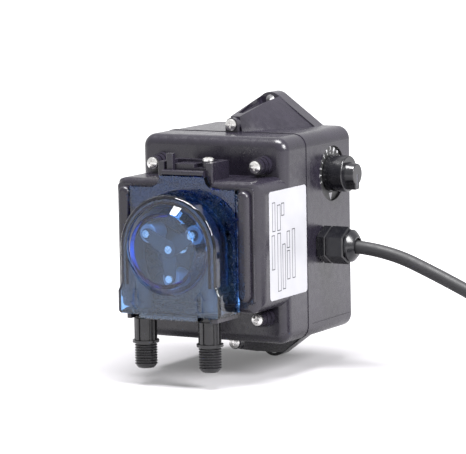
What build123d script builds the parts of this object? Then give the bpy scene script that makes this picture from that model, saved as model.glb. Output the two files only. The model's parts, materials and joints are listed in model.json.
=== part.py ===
from build123d import *
import os
from math import acos, atan2, cos, degrees, hypot, pi, radians, sin, tan

# A wall-mount peristaltic metering pump: a two-shell gear-motor housing with a roller pump head
# under a clear cover that slides upwards off its rails.
#
# Millimetres. The origin is the middle of the two wall holes, on the wall. +Z is up and +X is to
# the right of someone who faces the pump. Depths are distances out from the wall, so a depth d
# lies at y = -d.

# ---------------------------------------------------------------- driving dimensions
# housing shells
body_width = 100.0
body_height = 126.0
body_corner = 8.0
wall = 3.0
back_edge_radius = 1.5
parting_depth = 59.6
rim_band = 4.5
rim_proud = 0.35
panel_half_height = body_height / 2 - 8.8
panel_recess = 0.4
cover_face_depth = 87.0
face_edge_radius = 6.0

# raised block that carries the pump head
block_height = 79.4
block_depth = 121.0
block_corner = 8.5
block_side_radius = 9.0
block_lip_radius = 3.6
block_wall = 4.7
pocket_radius = 34.6
pocket_depth = 108.0
pocket_bottom = 36.0
pocket_corner = 4.0
pocket_wall = 3.0
side_core_inset = 3.0

# wall ears, gussets and lugs
ear_hole_z = body_height / 2 + 16.1
ear_hole_radius = 3.0
ear_tip_radius = 9.0
ear_tip_z = body_height / 2 + 20.8
ear_base_half = 31.8
ear_depth = 11.1
ear_wall = 4.7
ear_rim_wall = 2.6
gusset_depth = 57.2
gusset_base_half = 4.9
gusset_top_half = 3.1
gusset_front_z = body_height / 2 + 9.4
trough_half_back = 6.2
trough_half_front = 1.7
trough_floor_back = body_height / 2 + 9.6
trough_floor_front = body_height / 2 + 7.4
trough_end_depth = 50.0
lug_z = body_height / 2 + 4.7
lug_radius = 4.2
lug_length = 4.8

# housing screws
pillar_x = 35.5
pillar_z = body_height / 2 - 16.7
pillar_front_depth = 97.6
pillar_radii = (5.9, 5.2, 4.5)
screw_radius = 2.0
screw_clearance = 0.15
head_radius = 3.65
head_height = 2.4
cross_width = 1.1
cross_depth = 1.1
cover_screw_length = 62.0
lug_screw_length = 18.0
post_radius = 4.3
thread_clearance = 0.02

# gasket
gasket_width = 1.6
gasket_height = 1.2

# rails and clear cover
rail_inner = 36.7
rail_width = 8.2
rail_top = 34.8
rail_bottom = 32.0
rail_depth = 126.0
rail_edge_radius = 2.6
rail_pad_margin = 1.6
rail_pad_height = 0.8
tongue_reach = 2.0
tongue_thickness = 1.8
tongue_back_depth = 122.6
slide_clearance = 0.25
flange_half = 36.1
flange_top = 35.0
flange_bottom = 38.3
flange_back_depth = 121.3
flange_depth = 125.3
tab_half = 15.5
tab_top = 42.2
tab_fillet = 7.0
dome_radius = 32.6
dome_base_flare = 1.6
dome_depth = 144.8
dome_edge_radius = 2.4
skirt_half = 35.1
skirt_start = 21.0
skirt_full = 26.0
skirt_bottom = 39.9
skirt_corner = 2.5
cover_wall = 2.2
boss_base_radius = 27.6
boss_radius = 22.6
boss_depth = 149.5
boss_edge_radius = 1.2
track_radius = 27.3
track_wall = 1.9
track_back_depth = 125.0
track_leg = 22.0
lip_half = 20.0
lip_drop = 2.0
arrow_x = 22.0
arrow_z = 30.5
arrow_height = 12.0
arrow_width = 7.2
arrow_line = 0.9
arrow_relief = 0.4

# latch on top of the block
bracket_half = 18.7
bracket_back_depth = 99.5
bracket_floor_z = 38.0
bracket_plate = 4.0
bracket_top = 50.3
bracket_ear = 4.2
bracket_gap = 0.2
keeper_gap = 0.3
keeper_top = 46.6
keeper_bar_top = 45.6
keeper_bar_depth = 124.4
keeper_pad = (-10.4, 4.2)
keeper_pad_depths = (104.0, 117.0)
keeper_pad_top = 48.8
post_x = -11.4
post_depth = 118.0
post_size = (4.6, 3.6)
post_top = 55.2
keeper_screw_x = 10.6
keeper_screw_depth = 111.0
keeper_boss_radius = 3.9
keeper_boss_top = 50.6
keeper_screw_end = 38.4
keeper_head_radius = 3.5

# roller head
carrier_radius = 17.8
roller_radius = 5.7
roller_pin_radius = 1.6
roller_back_depth = 126.0
roller_length = 13.2
carrier_plate = 2.6
carrier_front_plate = 1.8
carrier_gap = 0.2
carrier_hub_radius = 6.4
carrier_arm_radius = 4.2
pin_head_radius = 2.3
pin_head_height = 1.0
nut_radius = 5.2
running_gap = 0.05
roller_angles = (30.0, 150.0, 270.0)

# tube and fittings
tube_radius = 4.75
tube_ovality = 0.15
tube_bore = 3.1
tube_depth = 133.4
tube_x = 22.1
press_start_z = 8.0
press_end_z = 24.0
press_gap = 0.3
tube_end_z = 37.4
fitting_top_z = 31.0
fitting_flange_radius = 7.2
fitting_flange = 2.4
shelf_top = 40.4
shelf_thickness = 2.6
shelf_half = 31.0
shelf_depth = 141.0
fitting_neck_radius = 5.3
fitting_body_radius = 6.9
fitting_rib_count = 8
fitting_groove = 1.7
collar_z = 56.6
collar_radius = 8.1
collar_thickness = 1.5
thread_radius = 6.85
thread_end = 73.5
thread_pitch = 1.6
thread_height = 0.75
port_radius = 3.25
port_length = 12.0
flow_radius = 2.0

# speed dial on the right side
dial_depth = 23.8
dial_z = 35.7
dial_radius = 17.1
dial_recess = 2.0
dial_boss_radius = 19.4
dial_boss_thickness = 2.4
dial_plate_thickness = 0.5
knob_radius = 11.2
knob_base_length = 12.5
knob_stand = 0.6
knob_grip_radius = 6.4
knob_end = 66.9
knob_pointer_reach = 9.6
knob_pointer_width = 5.6
knob_line_width = 1.5
knob_line_depth = 0.3
pot_shaft_radius = 3.0
pot_bush_radius = 4.6
pot_nut_across = 12.0
pot_nut_thickness = 2.0
pot_radius = 6.5
pot_length = 7.0

# control board
board_thickness = 1.6
board_depths = (6.0, 54.0)
board_zs = (7.5, 40.8)
board_screw_radius = 1.2
board_screw_grip = 5.0
board_post_radius = 2.6

# cable gland on the right side
gland_depth = 37.2
gland_z = -7.0
gland_across = 20.2
gland_flange = 6.1
gland_thread_radius = 7.8
gland_nut_start = 0.5
gland_nut_length = 11.6
gland_collar_radius = 10.0
gland_collar_length = 2.6
gland_end = 73.4
gland_mouth_radius = 5.0
gland_inner = 5.6
gland_seal_length = 9.0
locknut_across = 19.0
locknut_thickness = 4.0

# mains cord
cord_radius = 4.2

# rating label on the right side
label_depths = (60.4, 108.5)
label_zs = (-33.1, 32.7)
label_corner = 2.5
label_thickness = 0.15

# gearbox and motor
gear_plate = 2.0
gear_plate_half = (43.5, 32.0)
gear_post_x = 39.5
gear_post_z = 28.0
gear_post_radius = 3.0
gear_screw_radius = 1.5
gear_screw_end = 112.0
gearbox_front_depth = 99.4
gearbox_rear_depth = 78.6
gear_backlash = 0.12
shaft_radius = 4.0
shaft_flat = 0.9
bush_wall = 2.0
spindle_radius = 1.5
module_out, module_mid, module_in = 0.8, 0.7, 0.6
teeth_out, teeth_mid, teeth_in = 48, 42, 45
pinion_b, pinion_a, pinion_m = 14, 14, 12
angle_b, angle_a, angle_m = 150.0, 270.0, -40.0
out_layer = (94.6, 98.8)
mid_layer = (89.2, 93.4)
in_layer = (84.2, 88.0)
motor_radius = 18.0
motor_length = 45.0
motor_wall = 1.2
motor_shaft_radius = 1.5
armature_radius = 10.2
magnet_thickness = 4.5
armature_length = 22.0

# where the cord lies once it is put away
floor_z = -ear_tip_z
coil_centre = (234.1, -83.0)
coil_mean_radius = 47.0
coil_layers = 3
coil_rings = 2
plug_size = (26.0, 20.0)
plug_neck = (13.0, 13.0)
plug_length = 34.0
plug_relief_length = 28.0
plug_relief_radius = 5.6
blade_width = 6.3
blade_thickness = 1.5
blade_length = 17.5
blade_spacing = 12.7
earth_pin_radius = 2.4
earth_pin_length = 21.0
earth_pin_drop = 6.0

# ---------------------------------------------------------------- helpers


def facing(depth, x=0.0, z=0.0):
    """Plane parallel to the wall, `depth` out from it, whose normal points away from the wall."""
    return Plane(origin=(x, -depth, z), x_dir=(1, 0, 0), z_dir=(0, -1, 0))


def side(x, depth=0.0, z=0.0):
    """Plane square to X whose normal is +X; its own x runs along +Y and its own y along +Z."""
    return Plane(origin=(x, -depth, z), x_dir=(0, 1, 0), z_dir=(1, 0, 0))


def level(z, x=0.0, depth=0.0):
    """Horizontal plane at height z, with its origin at x and at `depth` out from the wall."""
    return Plane(origin=(x, -depth, z), x_dir=(1, 0, 0), z_dir=(0, 0, 1))


def polar(radius, angle):
    """Point at `radius` and `angle` degrees from +X in a sketch."""
    return (radius * cos(radians(angle)), radius * sin(radians(angle)))


def save(builder, label):
    """Name a finished sub-part after its node and write it."""
    builder.part.label = label
    export_step(builder.part, f"parts/{label}.step")


def build_screw(seat, shank_radius, shank_length, radius, height):
    """A cross-slot pan-head screw: `seat` lies under its head, with its normal leaving the work."""
    axis = Axis(seat.origin, seat.z_dir)
    with BuildPart() as screw:
        with BuildSketch(Plane(origin=seat.origin, x_dir=seat.x_dir, z_dir=-seat.y_dir)):
            with BuildLine():
                foot = Line((0, 0), (radius, 0))
                rim = Line(foot @ 1, (radius, height / 2))
                crown = RadiusArc(rim @ 1, (0, height), -(radius ** 2 + (height / 2) ** 2) / height)
                Line(crown @ 1, foot @ 0)
            make_face()
        revolve(axis=axis)
        with BuildSketch(seat):
            Circle(shank_radius)
        extrude(amount=-shank_length)
        chamfer(screw.faces().sort_by(axis)[0].edges(), shank_radius * 0.3)
        with BuildSketch(seat.offset(height)):
            Rectangle(radius * 1.15, cross_width)
            Rectangle(cross_width, radius * 1.15)
        extrude(amount=-cross_depth, mode=Mode.SUBTRACT)
    return screw.part


def gear_points(teeth, module, phase, tip):
    """Outline of a spur gear with a tooth centred on `phase` degrees; `tip` is its addendum."""
    pitch_r = teeth * module / 2
    base_r = pitch_r * cos(radians(20.0))
    root_r = pitch_r - 1.3 * module
    tip_r = pitch_r + tip * module
    half_pitch = pi / (2 * teeth) - gear_backlash / (2 * pitch_r)
    involute_at_pitch = tan(radians(20.0)) - radians(20.0)

    def half_angle(radius):
        pressure = acos(min(1.0, base_r / radius))
        return half_pitch + involute_at_pitch - (tan(pressure) - pressure)

    low_r = max(root_r + 0.05 * module, base_r)
    flank = [low_r + (tip_r - low_r) * step / 3 for step in range(4)]
    points = []
    for tooth in range(teeth):
        middle = radians(phase) + 2 * pi * tooth / teeth
        root_half = half_angle(low_r) * (1.0 if root_r < base_r else 1.08)
        rising = [(root_r, -root_half)] + [(radius, -half_angle(radius)) for radius in flank]
        falling = [(radius, -offset) for radius, offset in reversed(rising)]
        points += [(radius * cos(middle + offset), radius * sin(middle + offset))
                   for radius, offset in rising + falling]
    return points


def hexagon(across):
    """Corner radius of a hexagon from its size across flats."""
    return across / 2 / cos(radians(30.0))


os.makedirs("parts", exist_ok=True)

# ---------------------------------------------------------------- places worked out from them
half_width = body_width / 2
half_height = body_height / 2
block_half = block_height / 2
dial_floor_x = half_width - panel_recess - dial_recess
ear_tip_centre_z = ear_tip_z - ear_tip_radius
rail_x = rail_inner + rail_width / 2
bracket_inner = bracket_half - bracket_ear
bracket_floor_top = bracket_floor_z + bracket_plate
tongue_front_depth = tongue_back_depth + tongue_thickness
dome_inner_depth = dome_depth - cover_wall
boss_inner_depth = boss_depth - cover_wall
distance_b = (teeth_out + pinion_b) * module_out / 2
distance_a = (teeth_mid + pinion_a) * module_mid / 2
distance_m = (teeth_in + pinion_m) * module_in / 2
shaft_b = polar(distance_b, angle_b)
shaft_a = tuple(p + q for p, q in zip(shaft_b, polar(distance_a, angle_a)))
shaft_m = tuple(p + q for p, q in zip(shaft_a, polar(distance_m, angle_m)))
board_x = half_width - wall - dial_boss_thickness - pot_length - board_thickness
board_posts = [(-board_depths[0] - 4.5, board_zs[0] + 4.5), (-board_depths[1] + 4.5, board_zs[0] + 4.5),
               (-board_depths[1] + 4.5, board_zs[1] - 4.5)]
lug_front_depth = gusset_depth + bracket_gap + lug_length
post_places = [(sx * gear_post_x, sz * gear_post_z) for sx in (-1, 1) for sz in (-1, 1)]
pressed_in = carrier_radius + roller_radius + press_gap
pressed_out = track_radius - press_gap

# ---------------------------------------------------------------- rear housing


def ear_outline():
    """Hull of the ear: round tip and sloping sides down to the top of the body."""
    with Locations((0, ear_tip_centre_z)):
        Circle(ear_tip_radius)
    with Locations((0, half_height - 0.5)):
        Rectangle(2 * ear_base_half, 0.2)
    make_hull()


def gasket_ring():
    """Ring that runs round the middle of the shells' wall."""
    inset = (wall - gasket_width) / 2
    RectangleRounded(body_width - 2 * inset, body_height - 2 * inset, body_corner - inset)
    inner = inset + gasket_width
    RectangleRounded(body_width - 2 * inner, body_height - 2 * inner, body_corner - inner, mode=Mode.SUBTRACT)


with BuildPart() as rear_housing:
    with BuildSketch(facing(0)):
        RectangleRounded(body_width, body_height, body_corner)
    extrude(amount=parting_depth)
    fillet(rear_housing.faces().sort_by(Axis.Y)[-1].edges(), back_edge_radius)
    # raised band round the open rim
    with BuildSketch(facing(parting_depth - rim_band)):
        RectangleRounded(body_width + 2 * rim_proud, body_height + 2 * rim_proud, body_corner + rim_proud)
    extrude(amount=rim_band)
    # shallow panel on each side
    with Locations(*[(sx * half_width, -(parting_depth - rim_band) / 2, 0) for sx in (-1, 1)]):
        Box(2 * panel_recess, parting_depth - rim_band, 2 * panel_half_height, mode=Mode.SUBTRACT)
    # one ear, its gusset and trough; the lower set is its mirror image
    with BuildSketch(facing(0)):
        ear_outline()
    extrude(amount=ear_depth)
    gusset_roots = ((ear_depth - 1.0, ear_base_half - 0.6, 5.6, ear_tip_z - 1.7),
                    (gusset_depth, gusset_base_half, gusset_top_half, gusset_front_z))
    for depth, base_half, top_half, top_z in gusset_roots:
        with BuildSketch(facing(depth)):
            with BuildLine():
                Polyline((-base_half, half_height - 1.0), (base_half, half_height - 1.0),
                         (top_half, top_z), (-top_half, top_z), close=True)
            make_face()
    loft(ruled=True)
    trough = ((ear_depth, trough_half_back, trough_floor_back), (trough_end_depth, trough_half_front, trough_floor_front))
    for depth, half, floor in trough:
        with BuildSketch(facing(depth)):
            with BuildLine():
                Polyline((-half, floor + half), (-half * 0.55, floor), (half * 0.55, floor), (half, floor + half),
                         (half * 1.15, ear_tip_z + 4), (-half * 1.15, ear_tip_z + 4), close=True)
            make_face()
    loft(ruled=True, mode=Mode.SUBTRACT)
    # cored back of the ear, behind the screw wall
    with BuildSketch(facing(0)):
        ear_outline()
        offset(amount=-ear_rim_wall, mode=Mode.REPLACE)
        with Locations((0, half_height)):
            Rectangle(2 * ear_base_half, 2 * ear_rim_wall, mode=Mode.SUBTRACT)
    extrude(amount=ear_depth - ear_wall, mode=Mode.SUBTRACT)
    with Locations(facing(ear_depth, 0, ear_hole_z)):
        Hole(ear_hole_radius, depth=ear_depth)
    # thread for the lug screw
    with Locations(facing(gusset_depth, 0, lug_z)):
        Hole(screw_radius + thread_clearance, depth=lug_screw_length - lug_length + 1.0)
    ear_side = rear_housing.part.split(Plane.XY.offset(half_height - 0.2), keep=Keep.TOP)
    add(ear_side.mirror(Plane.XY))
    # cavity, posts and bosses inside
    with BuildSketch(facing(wall)):
        RectangleRounded(body_width - 2 * wall, body_height - 2 * wall, body_corner - wall)
    extrude(amount=parting_depth - wall, mode=Mode.SUBTRACT)
    with BuildSketch(facing(wall - 0.5)):
        with GridLocations(2 * pillar_x, 2 * pillar_z, 2, 2):
            Circle(post_radius)
    extrude(amount=parting_depth - wall + 0.5)
    for px in (-pillar_x, pillar_x):
        for pz in (-pillar_z, pillar_z):
            with Locations(facing(parting_depth, px, pz)):
                Hole(screw_radius + thread_clearance, depth=cover_screw_length - (pillar_front_depth - parting_depth) + 1.0)
    # groove for the gasket in the open rim
    with BuildSketch(facing(parting_depth - gasket_height)):
        gasket_ring()
    extrude(amount=gasket_height, mode=Mode.SUBTRACT)
    # posts for the control board on the right side wall
    with BuildSketch(side(board_x + board_thickness)):
        with Locations(*board_posts):
            Circle(board_post_radius)
    extrude(amount=half_width - wall / 2 - board_x - board_thickness)
    with BuildSketch(side(board_x + board_thickness)):
        with Locations(*board_posts):
            Circle(board_screw_radius + thread_clearance)
    extrude(amount=board_screw_grip + 0.5, mode=Mode.SUBTRACT)
    # dial recess in the right side with its inner boss, and the gland hole
    with BuildSketch(side(half_width - wall - dial_boss_thickness, dial_depth, dial_z)):
        Circle(dial_boss_radius)
    extrude(amount=dial_boss_thickness + wall / 2)
    with Locations(side(half_width - panel_recess, dial_depth, dial_z)):
        CounterBoreHole(pot_bush_radius + screw_clearance, dial_radius, dial_recess, depth=2 * wall + dial_boss_thickness)
    with Locations(side(half_width, gland_depth, gland_z)):
        Hole(gland_thread_radius + screw_clearance, depth=2 * wall)
save(rear_housing, "rear_housing")

# ---------------------------------------------------------------- front housing

# raised block: rounded in front view, plan view and side view by three crossing extrusions
with BuildPart() as head_block:
    with BuildSketch(facing(parting_depth + wall)):
        RectangleRounded(body_width, block_height, block_corner)
    extrude(amount=block_depth - parting_depth - wall)
    with BuildSketch(Plane.XY.offset(-block_half)):
        with Locations((0, -block_depth / 2)):
            RectangleRounded(body_width, block_depth, block_side_radius)
    extrude(amount=block_height, mode=Mode.INTERSECT)
    with BuildSketch(Plane.YZ.offset(-half_width)):
        with Locations((-block_depth / 2, 0)):
            RectangleRounded(block_depth, block_height, block_lip_radius)
    extrude(amount=body_width, mode=Mode.INTERSECT)


def build_rail(x):
    """One rail ridge, round at both ends and along its front."""
    with BuildPart() as rail:
        with BuildSketch(facing(block_depth - 1.0)):
            with Locations((x, (rail_top - rail_bottom) / 2)):
                SlotOverall(rail_top + rail_bottom, rail_width, rotation=90)
        extrude(amount=rail_depth - block_depth + 1.0)
        fillet(rail.faces().sort_by(Axis.Y)[0].edges(), rail_edge_radius)
    return rail.part


rails = [build_rail(sx * rail_x) for sx in (-1, 1)]

with BuildPart() as front_housing:
    with BuildSketch(facing(parting_depth)):
        RectangleRounded(body_width, body_height, body_corner)
    extrude(amount=cover_face_depth - parting_depth)
    fillet(front_housing.faces().sort_by(Axis.Y)[0].edges(), face_edge_radius)
    add(head_block.part)
    # stepped pillars for the four long screws, and the two lugs
    step = (pillar_front_depth - cover_face_depth) / len(pillar_radii)
    for index, radius in enumerate(pillar_radii):
        with BuildSketch(facing(cover_face_depth - face_edge_radius)):
            with GridLocations(2 * pillar_x, 2 * pillar_z, 2, 2):
                Circle(radius)
        extrude(amount=face_edge_radius + (index + 1) * step)
    for sz in (-1, 1):
        with BuildSketch(facing(gusset_depth + bracket_gap)):
            with Locations((0, sz * lug_z)):
                Circle(lug_radius)
        extrude(amount=lug_length)
        lug_web = lug_length + gusset_depth + bracket_gap - parting_depth
        with BuildSketch(facing(parting_depth)):
            with Locations((0, sz * (lug_z + half_height - wall) / 2)):
                Rectangle(2 * lug_radius, lug_z - half_height + wall)
        extrude(amount=lug_web)
    # hollow inside: shell, block cavity and a core in each side of the block
    with BuildSketch(facing(parting_depth)):
        RectangleRounded(body_width - 2 * wall, body_height - 2 * wall, body_corner - wall)
    extrude(amount=cover_face_depth - wall - parting_depth, mode=Mode.SUBTRACT)
    with BuildSketch(facing(parting_depth)):
        RectangleRounded(body_width - 2 * wall, block_height - 2 * block_wall, block_corner - wall)
    extrude(amount=pocket_depth - pocket_wall - parting_depth, mode=Mode.SUBTRACT)
    core_width = half_width - wall - side_core_inset - pocket_radius - pocket_wall
    with BuildSketch(facing(pocket_depth - pocket_wall - 1.0)):
        with Locations(*[(sx * (pocket_radius + pocket_wall + core_width / 2), 0) for sx in (-1, 1)]):
            RectangleRounded(core_width, 2 * rail_bottom, 1.5)
    extrude(amount=block_depth - wall - pocket_depth + pocket_wall + 1.0, mode=Mode.SUBTRACT)
    # pump head pocket: round at the top, square at the bottom
    with BuildSketch(facing(pocket_depth)):
        Circle(pocket_radius)
        with Locations((0, -pocket_bottom / 2)):
            Rectangle(2 * pocket_radius, pocket_bottom)
        fillet(vertices().group_by(Axis.Y)[0], pocket_corner)
    extrude(amount=block_depth, mode=Mode.SUBTRACT)
    # shaft boss on the pocket floor
    with BuildSketch(facing(pocket_depth - pocket_wall)):
        Circle(shaft_radius + bush_wall + 3.0)
    extrude(amount=pocket_wall + 6.0)
    with Locations(facing(pocket_depth + 6.0)):
        Hole(shaft_radius + bush_wall, depth=pocket_wall + 6.0 + 1.0)
    # rails on shallow pads, with a groove for the cover's tongues in each inner side
    for sx, rail in zip((-1, 1), rails):
        with BuildSketch(facing(block_depth - 1.0)):
            with Locations((sx * (rail_x + rail_pad_margin / 2), (rail_top - rail_bottom) / 2)):
                RectangleRounded(rail_width + rail_pad_margin, rail_top + rail_bottom + 2 * rail_pad_margin, 2.0)
        extrude(amount=1.0 + rail_pad_height)
        add(rail)
        groove_depth = tongue_thickness + 2 * slide_clearance
        groove_x = flange_half + tongue_reach + slide_clearance
        with BuildSketch(facing(tongue_back_depth - slide_clearance)):
            with Locations((sx * groove_x / 2, 0)):
                Rectangle(groove_x, 2 * block_height)
        extrude(amount=groove_depth, mode=Mode.SUBTRACT)
    # seat for the latch bracket
    with BuildSketch(level(bracket_floor_z)):
        with Locations((0, -(bracket_back_depth + block_depth) / 2 - 5.0)):
            Rectangle(2 * (bracket_half + bracket_gap), block_depth - bracket_back_depth + 10.0)
    extrude(amount=block_half, mode=Mode.SUBTRACT)
    # shelf that holds the fittings, open towards the front
    with BuildSketch(level(-shelf_top - shelf_thickness)):
        with Locations((0, -(shelf_depth + block_depth - 10.0) / 2)):
            RectangleRounded(2 * shelf_half, shelf_depth - block_depth + 10.0, 1.5)
    extrude(amount=shelf_thickness)
    with BuildSketch(level(-shelf_top - 0.5)):
        with Locations((0, -block_depth + 5.2)):
            Rectangle(2 * shelf_half, 9.6)
    extrude(amount=shelf_top - block_half + 2.0)
    with BuildSketch(level(-shelf_top - shelf_thickness)):
        for sx in (-1, 1):
            with Locations((sx * tube_x, -tube_depth)):
                Circle(fitting_neck_radius + slide_clearance)
            with Locations((sx * tube_x, -tube_depth - shelf_depth / 2)):
                Rectangle(2 * (fitting_neck_radius + slide_clearance), shelf_depth)
    extrude(amount=shelf_thickness, mode=Mode.SUBTRACT)
    # screw holes and the gearbox posts
    for px in (-pillar_x, pillar_x):
        for pz in (-pillar_z, pillar_z):
            with Locations(facing(pillar_front_depth, px, pz)):
                Hole(screw_radius + screw_clearance, depth=pillar_front_depth - parting_depth)
    for sz in (-1, 1):
        with Locations(facing(lug_front_depth, 0, sz * lug_z)):
            Hole(screw_radius + screw_clearance, depth=2 * lug_length)
    with BuildSketch(facing(gearbox_front_depth + gear_plate)):
        with Locations(*post_places):
            Circle(gear_post_radius + 0.5)
    extrude(amount=block_depth - block_wall - gearbox_front_depth - gear_plate + 0.5)
    for px, pz in post_places:
        with Locations(facing(gearbox_front_depth + gear_plate, px, pz)):
            Hole(gear_screw_radius + thread_clearance, depth=gear_screw_end - gearbox_front_depth - gear_plate + 0.3)
save(front_housing, "front_housing")

# ---------------------------------------------------------------- gasket, screws and label
with BuildPart() as housing_gasket:
    with BuildSketch(facing(parting_depth - gasket_height)):
        gasket_ring()
    extrude(amount=gasket_height)
save(housing_gasket, "housing_gasket")

pillar_places = [(sx * pillar_x, sz * pillar_z) for sx in (-1, 1) for sz in (-1, 1)]
cover_screw_parts = [build_screw(facing(pillar_front_depth, px, pz), screw_radius, cover_screw_length,
                                 head_radius, head_height) for px, pz in pillar_places]
with BuildPart() as cover_screws:
    for screw_part in cover_screw_parts:
        add(screw_part)
save(cover_screws, "cover_screws")

lug_screw_parts = [build_screw(facing(lug_front_depth, 0, sz * lug_z), screw_radius, lug_screw_length,
                               head_radius, head_height) for sz in (-1, 1)]
with BuildPart() as lug_screws:
    for screw_part in lug_screw_parts:
        add(screw_part)
save(lug_screws, "lug_screws")

with BuildPart() as rating_label:
    with BuildSketch(side(half_width, sum(label_depths) / 2, sum(label_zs) / 2)):
        RectangleRounded(label_depths[1] - label_depths[0], label_zs[1] - label_zs[0], label_corner)
    extrude(amount=label_thickness)
save(rating_label, "rating_label")

# ---------------------------------------------------------------- clear cover


def cover_outline(inset, flare, bottom):
    """Round arch over a slightly wider skirt; `flare` widens it towards the flange."""
    arch = dome_radius + flare - inset
    skirt = skirt_half + flare / 4 - inset
    with BuildSketch() as outline:
        with BuildLine():
            Polyline((-arch, 0), (-arch, -skirt_start), (-skirt, -skirt_full), (-skirt, -bottom),
                     (skirt, -bottom), (skirt, -skirt_full), (arch, -skirt_start), (arch, 0))
            ThreePointArc((arch, 0), (0, arch), (-arch, 0))
        make_face()
    return outline.sketch


outer_back, outer_front = cover_outline(0, dome_base_flare, skirt_bottom), cover_outline(0, 0, skirt_bottom)
hollow_bottom = skirt_bottom + 2 * lip_drop + 1.0
inner_back = cover_outline(cover_wall, dome_base_flare, hollow_bottom)
inner_front = cover_outline(cover_wall, 0, hollow_bottom)


def is_skirt_corner(edge):
    """Lower outer corners of the skirt, which run from the flange to the front."""
    middle = edge.center()
    return abs(middle.Z + skirt_bottom) < 0.01 and abs(abs(middle.X) - skirt_half) < 1.0


with BuildPart() as tube_cover:
    with BuildSketch(facing(flange_depth - 1.0)):
        add(outer_back)
    with BuildSketch(facing(dome_depth)):
        add(outer_front)
    loft(ruled=True)
    fillet(tube_cover.edges().filter_by(is_skirt_corner), skirt_corner)
    fillet(tube_cover.faces().sort_by(Axis.Y)[0].edges(), dome_edge_radius)
    # flange plate with its tab
    with BuildSketch(facing(flange_back_depth)):
        with Locations((0, (flange_top - flange_bottom) / 2)):
            Rectangle(2 * flange_half, flange_top + flange_bottom)
        with Locations((0, (flange_top + tab_top) / 2 - 1.0)):
            Rectangle(2 * tab_half, tab_top - flange_top + 2.0)
        tab_roots = vertices().filter_by(lambda v: abs(abs(v.X) - tab_half) < 0.01 and abs(v.Y - flange_top) < 0.01)
        fillet(tab_roots, tab_fillet)
    extrude(amount=flange_depth - flange_back_depth)
    # raised round front
    for depth, radius in ((dome_depth - 0.5, boss_base_radius + 0.5), (boss_depth, boss_radius)):
        with BuildSketch(facing(depth)):
            Circle(radius)
    loft(ruled=True)
    fillet(tube_cover.faces().sort_by(Axis.Y)[0].edges(), boss_edge_radius)
    # hollow, open at the back and at the bottom
    hollow_back = flange_back_depth - 0.5
    for depth, outline in ((hollow_back, inner_back), (dome_inner_depth, inner_front)):
        with BuildSketch(facing(depth)):
            add(outline)
    loft(ruled=True, mode=Mode.SUBTRACT)
    for depth, radius in ((dome_inner_depth - 0.2, boss_base_radius - cover_wall), (boss_inner_depth, boss_radius - cover_wall)):
        with BuildSketch(facing(depth)):
            Circle(radius)
    loft(ruled=True, mode=Mode.SUBTRACT)
    # track that the tube is pressed against
    track_outer = track_radius + track_wall
    with BuildSketch(facing(track_back_depth)):
        Circle(track_outer)
        with Locations((0, -track_leg / 2)):
            Rectangle(2 * track_outer, track_leg)
        Circle(track_radius, mode=Mode.SUBTRACT)
        with Locations((0, -track_outer)):
            Rectangle(2 * track_radius, 2 * track_outer, mode=Mode.SUBTRACT)
        with Locations((0, -track_leg - track_outer / 2)):
            Rectangle(3 * track_outer, track_outer, mode=Mode.SUBTRACT)
    extrude(amount=dome_inner_depth + 0.5 - track_back_depth)
    # tongues that run in the rails
    with BuildSketch(facing(tongue_back_depth)):
        with Locations((0, (rail_top - rail_bottom) / 2)):
            Rectangle(2 * (flange_half + tongue_reach), rail_top + rail_bottom - 4.0)
            Rectangle(2 * flange_half - 2.0, rail_top + rail_bottom, mode=Mode.SUBTRACT)
    extrude(amount=tongue_thickness)
    # thumb lip along the bottom of the front wall
    with BuildSketch(facing(dome_inner_depth + 0.2)):
        with Locations((0, -skirt_bottom - lip_drop / 2 + 1.0)):
            RectangleRounded(2 * lip_half, lip_drop + 2.0, 0.9)
    extrude(amount=cover_wall - 0.4)
    # raised flow arrows: down on the left, up on the right
    for sx in (-1, 1):
        head = arrow_width * 0.62
        with BuildSketch(facing(dome_depth - 0.2, sx * arrow_x, -arrow_z)):
            with BuildLine():
                Polyline(*[(px, sx * pz) for px, pz in (
                    (0, arrow_height / 2), (arrow_width / 2, arrow_height / 2 - head),
                    (arrow_width / 4, arrow_height / 2 - head), (arrow_width / 4, -arrow_height / 2),
                    (-arrow_width / 4, -arrow_height / 2), (-arrow_width / 4, arrow_height / 2 - head),
                    (-arrow_width / 2, arrow_height / 2 - head))], close=True)
            make_face()
            offset(amount=-arrow_line * 0.55, kind=Kind.INTERSECTION, mode=Mode.SUBTRACT)
        extrude(amount=arrow_relief + 0.2)
save(tube_cover, "tube_cover")

# ---------------------------------------------------------------- latch on top of the block
bracket_length = block_depth - bracket_back_depth
with BuildPart() as latch_bracket:
    with BuildSketch(level(bracket_floor_z)):
        with Locations((0, -(bracket_back_depth + block_depth) / 2)):
            Rectangle(2 * bracket_half, bracket_length)
    extrude(amount=bracket_top - bracket_floor_z)
    with BuildSketch(level(bracket_floor_top)):
        with Locations((0, -(bracket_back_depth + block_depth) / 2 - bracket_plate / 2)):
            Rectangle(2 * bracket_inner, bracket_length - bracket_plate + 0.01)
    extrude(amount=bracket_top, mode=Mode.SUBTRACT)
    upright = latch_bracket.edges().filter_by(Axis.Z).filter_by(lambda e: abs(abs(e.center().X) - bracket_half) < 0.01)
    fillet(upright, 0.8)
    with Locations(level(bracket_floor_top, keeper_screw_x, keeper_screw_depth)):
        Hole(gear_screw_radius + 0.1, depth=2 * bracket_plate)
save(latch_bracket, "latch_bracket")

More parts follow.
